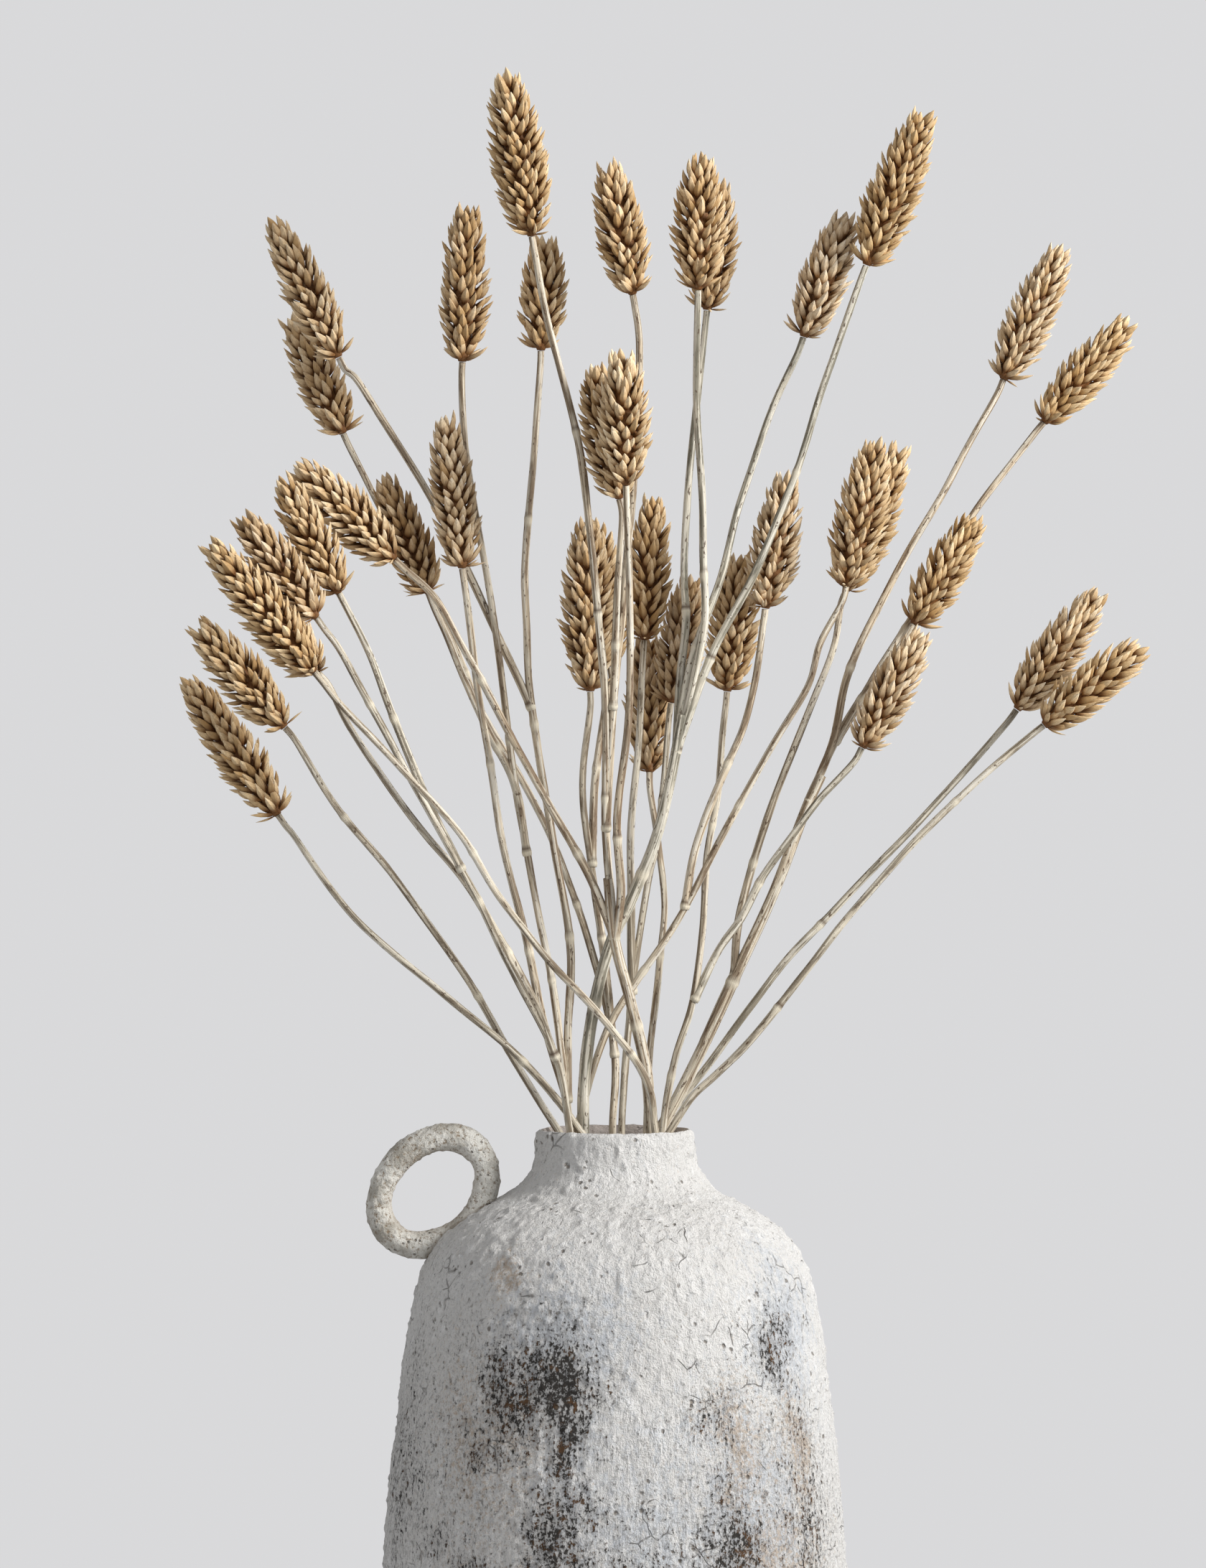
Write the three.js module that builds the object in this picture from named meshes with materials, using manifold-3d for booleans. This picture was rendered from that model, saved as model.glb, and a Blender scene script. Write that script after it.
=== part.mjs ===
// A rough white ceramic bottle vase with one ring handle on its shoulder, holding fifteen sprays of dried
// canary grass. Each spray is one branching stalk that stands in the vase and can be drawn out through the
// mouth, and each seed head on it is a piece of its own.
//
// Frame: millimetres, +Z up, origin at the centre of the vase's base. The front is -Y, the ring handle is at -X.

import * as THREE from "three";
import { mergeVertices } from "three/addons/utils/BufferGeometryUtils.js";
import Module from "manifold-3d";

const wasm = await Module();
wasm.setup();

// Vase
const VASE_HEIGHT = 295;
const WALL = 4;
const FLOOR = 8;
const BASE_RADIUS = 74;
const LIP_ROUNDING = 1.5;
const VASE_SIDES = 36;
const PROFILE_STEPS = 16;
// The outside from the foot up to the lip, as [radius, depth below the rim].
const OUTER_PROFILE = [
  [80, 292], [92, 270], [100, 240], [103, 210], [102, 175], [97, 130], [92, 90],
  [85, 61], [76, 47], [60, 35], [45, 27], [37.5, 18], [35.5, 8], [35, 1.5],
];

// Ring handle: an oval ring in the plane y = 0, pressed against the left shoulder
const RING_CENTRE = [-81, -27.5];
const RING_LONG_RADIUS = 27;
const RING_SHORT_RADIUS = 20.8;
const RING_TILT = THREE.MathUtils.degToRad(45);
const RING_THICKNESS = 11.8;
const RING_STEPS = 28;
const RING_SIDES = 10;

// Stalks and seed heads
const STALK_THICKNESS = 3.4;
const CULM_THICKNESS = 6.4;
const STALK_SIDES = 6;
const STEP_LENGTH = 27;
const STRAIGHT_BELOW_MOUTH = 20;
const JOIN_OVERLAP = 8;
const NECK_OF_HEAD = 6;
const HEAD_WIDTH = 20;
const HEAD_SIDES = 8;
// A seed head's outline, as [share of half the width, share of the length].
const HEAD_OUTLINE = [[0, 0], [0.25, 0], [0.68, 0.1], [1, 0.32], [0.92, 0.56], [0.62, 0.8], [0.25, 0.95], [0, 1]];
const GAP = 0.3;

// The bunch is laid out as a front elevation, and seen by an eye at this point. A stalk that stands in front of
// or behind the vase's axis is set along the line of sight, so that its outline keeps its place in that view.
const EYE = new THREE.Vector3(-5, -2450, VASE_HEIGHT + 154);

const colours = {
  plaster: new THREE.MeshStandardMaterial({ color: 0xe8e5de, roughness: 0.95, metalness: 0 }),
  ring: new THREE.MeshStandardMaterial({ color: 0xd8d1c3, roughness: 0.95, metalness: 0 }),
  stalk: new THREE.MeshStandardMaterial({ color: 0xcbbf9f, roughness: 0.8, metalness: 0 }),
  head: new THREE.MeshStandardMaterial({ color: 0xc8aa80, roughness: 0.85, metalness: 0 }),
};

// Each spray stands in a leaning plane of its own, so that it can be drawn out past the others.
// foot: [x, height from the rim] of the end inside the vase. mouth: [x, y] where it passes the rim.
// lean: millimetres it leans back for each millimetre it rises; forward is negative.
// culm: the thick lower stalk that some sprays have, from the mouth up.
// strands: the first one rises from the mouth or from the culm, and the others fork from it. Their points, like
// the culm's, are [x, height above the rim] in the front elevation. They end at the seed head's base, and tip is
// the head's tip.
// back: how far a strand stands behind the spray's plane where it forks and at its head.
const sprays = [
  {
    name: "spray_01", foot: [75, -170], mouth: [-26, 10], lean: -0.12,
    strands: [
      { points: [[-45, 31], [-68, 70], [-99, 114], [-123, 142], [-147, 179]], tip: [-188, 227] },
    ],
  },
  {
    name: "spray_02", foot: [78, -117], mouth: [-15.5, -15.5], lean: 0.17,
    strands: [
      { points: [[-25, 12], [-47, 36], [-79, 63], [-114, 92], [-144, 132], [-150, 140]], tip: [-192, 202] },
    ],
  },
  {
    name: "spray_03", foot: [61, -215], mouth: [18, -22], lean: -0.36,
    strands: [
      {
        points: [
          [16, 16], [10, 30], [-3, 47], [-29, 75], [-51, 103], [-69, 132], [-95, 161], [-123, 190], [-134, 204],
        ],
        tip: [-182, 263],
      },
    ],
  },
  {
    name: "spray_04", foot: [34, -270], mouth: [-20, -19], lean: -0.27,
    strands: [
      {
        points: [[-26, 31], [-42, 63], [-59, 98], [-68, 115], [-87, 148], [-107, 186], [-123, 215], [-133, 228]],
        tip: [-167, 274], back: [0, -6],
      },
      { points: [[-68, 115], [-85, 149], [-100, 187], [-109, 211], [-123, 239]], tip: [-149, 291], back: [-3, 10] },
      { points: [[-26, 31], [-38, 60], [-64, 106], [-85, 132], [-118, 179], [-132, 203]], tip: [-165, 241], back: [0, 4] },
    ],
  },
  {
    name: "spray_05", foot: [-24, -283], mouth: [-20, -9], lean: -0.13,
    strands: [
      {
        points: [[-24, 37], [-31, 82], [-39, 122], [-46, 166], [-54, 227], [-66, 300], [-68, 342]],
        tip: [-66, 414], back: [0, 8],
      },
      { points: [[-39, 122], [-45, 155], [-57, 178], [-67, 201], [-75, 221], [-83, 239]], tip: [-104, 292], back: [3, 6] },
      {
        points: [[-21, 12], [-32, 49], [-42, 95], [-50, 129], [-58, 177], [-65, 225], [-68, 250]],
        tip: [-76, 319], back: [0, -6],
      },
      {
        points: [[-21, 12], [-21, 43], [-20, 82], [-28, 130], [-37, 187], [-39, 221], [-40, 246], [-36, 300], [-33, 347]],
        tip: [-31, 399], back: [0, 12],
      },
      { points: [[-37, 187], [-56, 229], [-85, 286], [-116, 335], [-123, 344]], tip: [-153, 406], back: [6, 14] },
    ],
  },
  {
    name: "spray_06", foot: [8, -284], mouth: [-1, 3], lean: 0.02,
    strands: [
      {
        points: [[0, 32], [-8, 70], [-21, 112], [-39, 151], [-61, 189], [-75, 224], [-100, 268], [-121, 310]],
        tip: [-145, 364],
      },
      { points: [[0, 32], [-5, 78], [-10, 117], [-14, 145], [-14, 161], [-11, 195]], tip: [-13, 273], back: [0, -12] },
      { points: [[-10, 117], [-9, 150], [-4, 190], [-2, 206]], tip: [-10, 273], back: [-5, 8] },
    ],
  },
  {
    name: "spray_07", foot: [56, -280], mouth: [16, -11], lean: -0.2,
    culm: [[14, 26], [7, 57], [0, 84], [-3, 112]],
    strands: [
      { points: [[0, 84], [-4, 133], [-4, 180], [-9, 244], [-16, 304], [-31, 364], [-37, 398]], tip: [-49, 472] },
      { points: [[0, 84], [-12, 114], [-30, 146], [-47, 176], [-67, 214], [-80, 237], [-98, 254]], tip: [-143, 297], back: [0, 6] },
      { points: [[0, 84], [3, 105], [1, 139], [6, 181], [7, 210], [5, 287]], tip: [3, 348], back: [0, -18] },
      { points: [[-4, 133], [-1, 187], [1, 238], [3, 265], [2, 281]], tip: [-9, 341] },
      { points: [[-1, 187], [4, 240], [9, 300], [11, 352], [8, 372]], tip: [-3, 432], back: [0, 24] },
    ],
  },
  {
    name: "spray_08", foot: [12, -284], mouth: [3, 7], lean: 0.1,
    strands: [
      { points: [[5, 32], [8, 60], [12, 90], [16, 115], [19, 127], [22, 155], [25, 190]], tip: [34, 248], back: [0, 10] },
      { points: [[8, 60], [7, 100], [7, 122], [8, 145], [10, 170], [13, 218]], tip: [17, 283], back: [2, -4] },
    ],
  },
  {
    name: "spray_09", foot: [0, -284], mouth: [14, 8], lean: 0.22,
    strands: [
      { points: [[16, 38], [20, 75], [22, 100], [19, 128], [15.5, 159]], tip: [14, 222] },
    ],
  },
  {
    name: "spray_10", foot: [-14, -284], mouth: [-14, -7], lean: -0.11,
    culm: [[-14, 17], [-10, 51], [-2, 83], [7, 102], [19, 132], [27, 167], [30, 185]],
    strands: [
      { points: [[27, 167], [36, 203], [40, 226], [39.5, 255], [38.5, 291], [36.5, 327], [37, 374]], tip: [38, 435] },
      {
        points: [[27, 167], [29, 198], [31.5, 226], [31, 245], [32, 278], [34.5, 306], [41, 365]],
        tip: [47, 423], back: [0, 24],
      },
      { points: [[27, 167], [43, 211], [62, 247], [81, 295], [93, 331], [112, 385]], tip: [139, 455] },
      { points: [[27, 167], [34, 208], [47, 247], [57, 283], [71, 323], [84, 353]], tip: [104, 410], back: [0, 10] },
    ],
  },
  {
    name: "spray_11", foot: [-92, -215], mouth: [-17, -1], lean: -0.06,
    strands: [
      {
        points: [
          [-10, 26], [-2, 48], [9, 66], [22, 84], [31, 98], [45, 125], [66, 164], [86, 198], [91, 216], [103, 242],
        ],
        tip: [117, 308],
      },
      { points: [[31, 98], [36, 125], [50, 162], [58, 181], [63, 201], [67, 232]], tip: [77, 293], back: [0, 6] },
    ],
  },
  {
    name: "spray_12", foot: [12, -284], mouth: [21.5, 4.5], lean: 0.03,
    strands: [
      { points: [[27, 32], [35, 57], [39, 89], [41, 124], [46, 150], [48, 176], [50, 195]], tip: [56, 258] },
      { points: [[35, 57], [47, 80], [57, 94], [66, 112], [77, 128], [90, 146], [110, 170]], tip: [138, 223], back: [0, -4] },
    ],
  },
  {
    name: "spray_13", foot: [-70, -175], mouth: [21, 11.5], lean: 0.05,
    culm: [[34, 26], [53, 67], [71, 106], [86, 145], [92, 158]],
    strands: [
      { points: [[86, 145], [98, 172], [113, 197], [133, 225]], tip: [162, 274], back: [0, 8] },
      { points: [[86, 145], [97, 172], [104, 203], [123, 243], [151, 293], [173, 334]], tip: [200, 395] },
      { points: [[98, 172], [118, 205], [140, 240], [161, 276], [191, 315]], tip: [231, 362], back: [3, 40] },
      { points: [[53, 67], [56, 97], [70, 144], [88, 190], [98, 218], [103, 240]], tip: [128, 306], back: [0, 4] },
    ],
  },
  {
    name: "spray_14", foot: [-78, -145], mouth: [20, 19.5], lean: -0.05,
    strands: [
      { points: [[44, 32], [61, 55], [79, 78], [99, 99], [131, 132], [142, 144], [179, 187]], tip: [217, 241] },
    ],
  },
  {
    name: "spray_15", foot: [-78, -145], mouth: [24, -15], lean: 0,
    strands: [
      {
        points: [[35, 15], [45, 24], [59, 38], [88, 75], [109, 101], [142, 137], [157, 151], [191, 180]],
        tip: [236, 216],
      },
    ],
  },
];

// --- Solids ---------------------------------------------------------------------------------------------------

// A manifold-3d solid with the shape of a closed three.js geometry.
function toSolid(geometry) {
  const bare = geometry.clone();
  bare.deleteAttribute("normal");
  bare.deleteAttribute("uv");
  const merged = mergeVertices(bare, 1e-4);
  return new wasm.Manifold(new wasm.Mesh({
    numProp: 3,
    vertProperties: new Float32Array(merged.attributes.position.array),
    triVerts: new Uint32Array(merged.index.array),
  }));
}

function toGeometry(solid) {
  const mesh = solid.getMesh();
  const geometry = new THREE.BufferGeometry();
  geometry.setAttribute("position", new THREE.BufferAttribute(mesh.vertProperties, 3));
  geometry.setIndex(new THREE.BufferAttribute(mesh.triVerts, 1));
  geometry.computeVertexNormals();
  return geometry;
}

function namedMesh(name, geometry, material) {
  const mesh = new THREE.Mesh(geometry, material);
  mesh.name = name;
  return mesh;
}

// A closed round tube along a curve.
function tube(curve, steps, radius) {
  const section = new THREE.Shape();
  section.setFromPoints(
    Array.from({ length: STALK_SIDES }, (_, i) => {
      const angle = (i / STALK_SIDES) * 2 * Math.PI;
      return new THREE.Vector2(radius * Math.cos(angle), radius * Math.sin(angle));
    }),
  );
  return new THREE.ExtrudeGeometry(section, { steps, bevelEnabled: false, extrudePath: curve });
}

// --- Vase -----------------------------------------------------------------------------------------------------

// The outer profile from foot to lip, moved outwards by the given distance, as lathe points.
function vaseProfile(offset) {
  const spline = new THREE.SplineCurve(
    OUTER_PROFILE.map(([radius, depth]) => new THREE.Vector2(radius, VASE_HEIGHT - depth)),
  );
  return Array.from({ length: PROFILE_STEPS + 1 }, (_, i) => {
    const along = i / PROFILE_STEPS;
    const tangent = spline.getTangent(along);
    return spline.getPoint(along).add(new THREE.Vector2(tangent.y, -tangent.x).multiplyScalar(offset));
  });
}

// A solid of revolution about +Z from a profile of [radius, height] points.
function turned(points, sides) {
  const geometry = new THREE.LatheGeometry(points, sides);
  geometry.rotateX(Math.PI / 2);
  return geometry;
}

function vaseBody() {
  const outside = vaseProfile(0);
  const inside = vaseProfile(-WALL).filter((point) => point.y > FLOOR + WALL).reverse();
  const lipRadius = outside.at(-1).x - LIP_ROUNDING;
  const boreRadius = inside[0].x + LIP_ROUNDING;
  const floorRadius = inside.at(-1).x - WALL;
  const profile = [
    new THREE.Vector2(0, 0),
    new THREE.Vector2(BASE_RADIUS, 0),
    ...outside,
    new THREE.Vector2(lipRadius, VASE_HEIGHT),
    new THREE.Vector2(boreRadius, VASE_HEIGHT),
    ...inside,
    new THREE.Vector2(floorRadius, FLOOR),
    new THREE.Vector2(0, FLOOR),
  ];
  return namedMesh("vase_body", turned(profile, VASE_SIDES), colours.plaster);
}

// The ring is cut back to the shoulder that it is pressed against.
function ringHandle() {
  const meanRadius = (RING_LONG_RADIUS + RING_SHORT_RADIUS) / 2;
  const ring = new THREE.TorusGeometry(meanRadius, RING_THICKNESS / 2, RING_SIDES, RING_STEPS);
  const position = ring.attributes.position;
  for (let i = 0; i < position.count; i += 1) {
    const angle = Math.atan2(position.getY(i), position.getX(i));
    position.setX(i, position.getX(i) + (RING_LONG_RADIUS - meanRadius) * Math.cos(angle));
    position.setY(i, position.getY(i) + (RING_SHORT_RADIUS - meanRadius) * Math.sin(angle));
  }
  ring.rotateZ(RING_TILT);
  ring.rotateX(Math.PI / 2);
  ring.translate(RING_CENTRE[0], 0, VASE_HEIGHT + RING_CENTRE[1]);
  const shoulder = [
    new THREE.Vector2(0, 0),
    ...vaseProfile(GAP),
    new THREE.Vector2(0, VASE_HEIGHT),
  ];
  const solid = toSolid(ring).subtract(toSolid(turned(shoulder, VASE_SIDES)));
  return namedMesh("ring_handle", toGeometry(solid), colours.ring);
}

// --- Sprays ---------------------------------------------------------------------------------------------------

// A point of the front elevation, set at its own depth along the line of sight.
function atDepth([x, rise], y) {
  const drawn = new THREE.Vector3(x, 0, VASE_HEIGHT + rise);
  return EYE.clone().lerp(drawn, (y - EYE.y) / -EYE.y);
}

// A spray's foot, its crossing of the mouth, and the direction it is drawn out in.
function standing(spray) {
  const [mouthX, mouthY] = spray.mouth;
  const [footX, footRise] = spray.foot;
  const mouth = new THREE.Vector3(mouthX, mouthY, VASE_HEIGHT);
  const foot = new THREE.Vector3(footX, mouthY + spray.lean * footRise, VASE_HEIGHT + footRise);
  return { mouth, foot, out: mouth.clone().sub(foot).normalize() };
}

// A strand's points in space, with its seed head's base and tip.
function strandPath(spray, strand) {
  const [backAtFork, backAtHead] = strand.back ?? [0, 0];
  const yAt = (rise, share) =>
    spray.mouth[1] + spray.lean * rise + THREE.MathUtils.lerp(backAtFork, backAtHead, share);
  const last = strand.points.length - 1;
  const points = strand.points.map((point, i) => atDepth(point, yAt(point[1], i / last)));
  const base = points.pop();
  const tip = atDepth(strand.tip, yAt(strand.tip[1], 1));
  const axis = tip.clone().sub(base).normalize();
  points.push(base.clone().addScaledVector(axis, -NECK_OF_HEAD), base);
  return { points, base, tip, axis };
}

function bentTube(points, thickness) {
  const curve = new THREE.CatmullRomCurve3(points, false, "centripetal");
  return tube(curve, Math.ceil(curve.getLength() / STEP_LENGTH), thickness / 2);
}

// The whole branching stalk of a spray, joined into one solid.
function stalkMesh(spray) {
  const { mouth, foot, out } = standing(spray);
  const below = mouth.clone().addScaledVector(out, -STRAIGHT_BELOW_MOUTH);
  const overlapped = below.clone().addScaledVector(out, JOIN_OVERLAP);
  const footThickness = spray.culm ? CULM_THICKNESS : STALK_THICKNESS;
  const pieces = [tube(new THREE.LineCurve3(foot, overlapped), 1, footThickness / 2)];
  if (spray.culm) {
    const points = spray.culm.map((point) => atDepth(point, spray.mouth[1] + spray.lean * point[1]));
    pieces.push(bentTube([below, mouth, ...points], CULM_THICKNESS));
  }
  spray.strands.forEach((strand, i) => {
    const { points } = strandPath(spray, strand);
    const risesFromMouth = i === 0 && !spray.culm;
    pieces.push(bentTube(risesFromMouth ? [below, mouth, ...points] : points, STALK_THICKNESS));
  });
  const solid = pieces.map(toSolid).reduce((joined, piece) => joined.add(piece));
  return namedMesh(`${spray.name}_stalk`, toGeometry(solid), colours.stalk);
}

function seedHead(spray, strand, number) {
  const { base, tip, axis } = strandPath(spray, strand);
  const start = base.clone().addScaledVector(axis, GAP);
  const length = tip.distanceTo(start);
  const outline = HEAD_OUTLINE.map(([out, along]) => new THREE.Vector2((out * HEAD_WIDTH) / 2, along * length));
  const mesh = namedMesh(`${spray.name}_head_${number}`, new THREE.LatheGeometry(outline, HEAD_SIDES), colours.head);
  mesh.position.copy(start);
  mesh.quaternion.setFromUnitVectors(new THREE.Vector3(0, 1, 0), axis);
  return mesh;
}

const vase = new THREE.Group();
vase.add(vaseBody(), ringHandle());
for (const spray of sprays) {
  vase.add(stalkMesh(spray));
  spray.strands.forEach((strand, i) => vase.add(seedHead(spray, strand, i + 1)));
}

export default vase;
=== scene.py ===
"""Looks of a rough white ceramic bottle vase with a ring handle, which holds sprays of dried canary grass.

Everything is in metres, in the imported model's frame: +Z up, the origin under the vase, the front at -Y and
the ring handle at -X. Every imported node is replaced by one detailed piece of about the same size, which
rides on the same body.
"""
import math
import random

import bpy
import numpy as np
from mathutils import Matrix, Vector, noise


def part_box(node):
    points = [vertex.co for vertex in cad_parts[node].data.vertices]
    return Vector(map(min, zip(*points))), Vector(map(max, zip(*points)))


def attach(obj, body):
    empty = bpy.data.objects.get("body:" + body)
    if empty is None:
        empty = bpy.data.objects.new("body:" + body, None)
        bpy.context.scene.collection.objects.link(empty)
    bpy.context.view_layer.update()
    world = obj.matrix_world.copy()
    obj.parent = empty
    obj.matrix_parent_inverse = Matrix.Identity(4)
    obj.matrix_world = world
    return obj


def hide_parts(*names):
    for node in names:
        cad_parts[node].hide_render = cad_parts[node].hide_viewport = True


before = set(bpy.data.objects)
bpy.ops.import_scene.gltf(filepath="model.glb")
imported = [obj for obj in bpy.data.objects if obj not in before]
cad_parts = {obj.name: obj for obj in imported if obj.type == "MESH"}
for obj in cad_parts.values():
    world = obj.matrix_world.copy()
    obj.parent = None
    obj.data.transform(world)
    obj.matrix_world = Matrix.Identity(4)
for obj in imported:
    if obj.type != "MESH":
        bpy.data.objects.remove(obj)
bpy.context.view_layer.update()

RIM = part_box("vase_body")[1].z

# Vase: the outside from the foot up to the lip, as (radius, depth below the rim), and its wall
OUTER_PROFILE = [
    (0.080, 0.292), (0.092, 0.270), (0.100, 0.240), (0.103, 0.210), (0.102, 0.175), (0.097, 0.130),
    (0.092, 0.090), (0.085, 0.061), (0.076, 0.047), (0.060, 0.035), (0.045, 0.027), (0.0375, 0.018),
    (0.0355, 0.008), (0.035, 0.0015),
]
WALL = 0.004
FLOOR = 0.008
BASE_RADIUS = 0.074
LIP_ROUNDING = 0.0015
COAT_LOWEST = -0.0012
COAT_HIGHEST = 0.0022
VASE_SIDES = 520
PROFILE_SPACING = 0.0012

# Ring handle
RING_CENTRE = Vector((-0.081, 0, RIM - 0.0275))
RING_LONG_RADIUS = 0.027
RING_SHORT_RADIUS = 0.0208
RING_TILT = math.radians(45)
RING_THICKNESS = 0.0118
RING_STEPS = 260
RING_SIDES = 72

# Stalks and seed heads
STALK_RADIUS = 0.0017
CULM_RADIUS = 0.0032
STALK_SIDES = 14
STALK_SPACING = 0.0018
STRAIGHT_BELOW_MOUTH = 0.020
NECK_OF_HEAD = 0.006
NODE_SPACING = 0.105
GAP = 0.0003
# A seed head's outline, as (half width, share of its length).
HEAD_OUTLINE = [
    (0.0, 0.0), (0.0025, 0.0), (0.0068, 0.10), (0.010, 0.32), (0.0092, 0.56), (0.0062, 0.80),
    (0.0025, 0.95), (0.0, 1.0),
]
GLUME_LENGTH = 0.0101
GLUME_WIDTH = 0.0037
GLUMES_PER_METRE = 2200
LAST_GLUME_BELOW_TIP = 0.0074
# The glumes and the splayed bracts round a head's foot, as (count, jitter, height, radius, leans, lengths,
# width, tones, curls, skew).
FOOT_RINGS = [
    (8, 0.25, 0.0026, 0.0018, (0.36, 0.72), (0.0088, 0.0110), 0.0036, (0.1, 0.9), (-0.04, 0.06), 0.25),
    (7, 0.40, 0.0014, 0.0016, (0.70, 1.20), (0.0088, 0.0125), 0.0031, (0.2, 1.0), (-0.06, 0.16), 0.30),
]

# The bunch is laid out as a front elevation, seen by an eye at this point. The camera is within 1 mm of it.
EYE = Vector((-0.005, -2.450, RIM + 0.154))

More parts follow.
